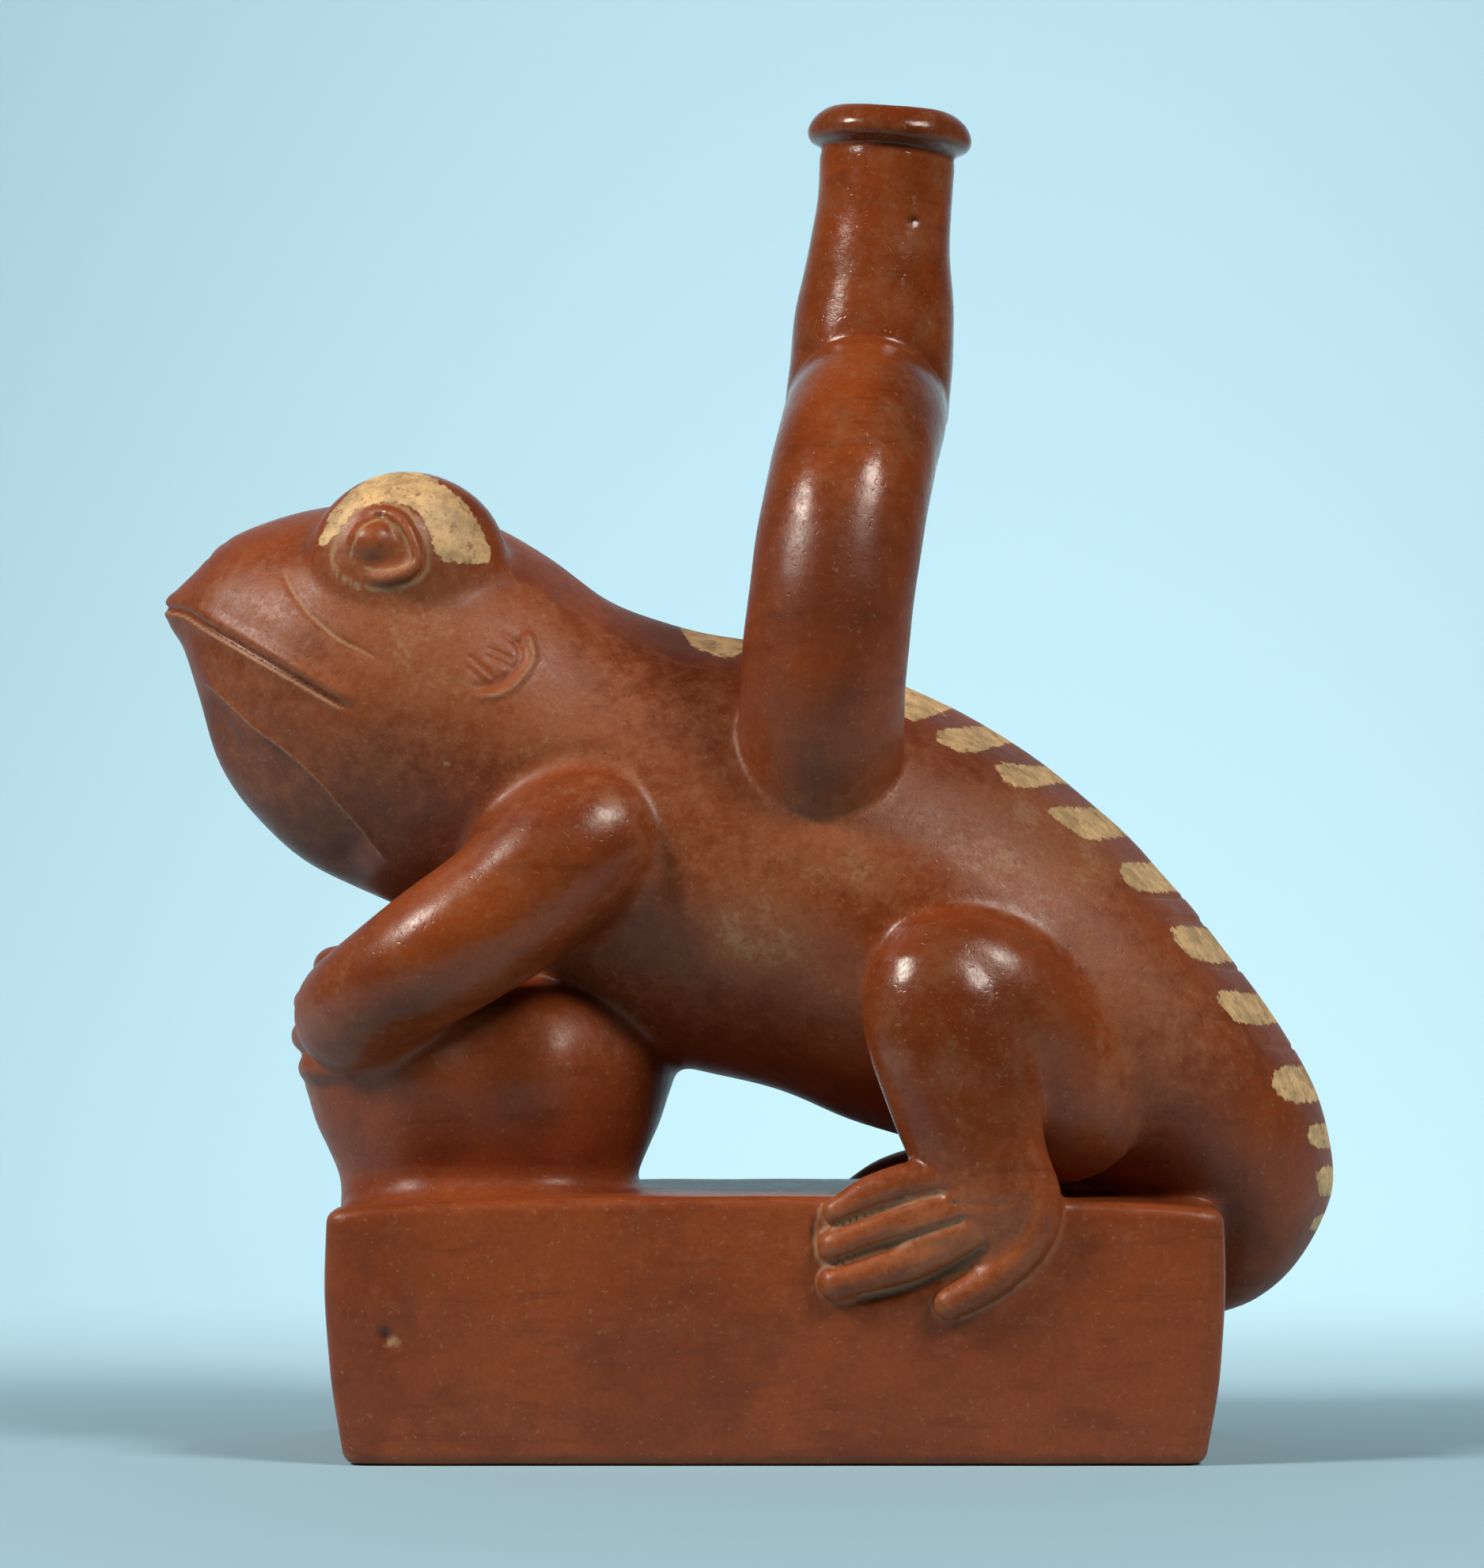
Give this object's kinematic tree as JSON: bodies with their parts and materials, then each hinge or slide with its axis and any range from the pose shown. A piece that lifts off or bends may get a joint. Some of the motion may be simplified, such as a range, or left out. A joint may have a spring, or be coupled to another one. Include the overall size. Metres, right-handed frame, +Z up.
{
  "type": "stirrup spout vessel",
  "caption": "Hollow red clay vessel: a big-eyed lizard hugs a lobed gourd on an oblong box, with an arched stirrup handle and a lipped spout on its back.",
  "frame": {"origin": "middle of the box's flat underside", "axes": "+Z up, +X towards the tail, -X towards the snout, Y across"},
  "size_m": [0.192, 0.0954, 0.2205],
  "materials": {
    "red_slip_clay": "burnished red-brown slip with cream slip on the brows and in blocks along the back"
  },
  "bodies": {
    "root": {"stirrup_spout_vessel": "red_slip_clay"}
  },
  "joints": []
}
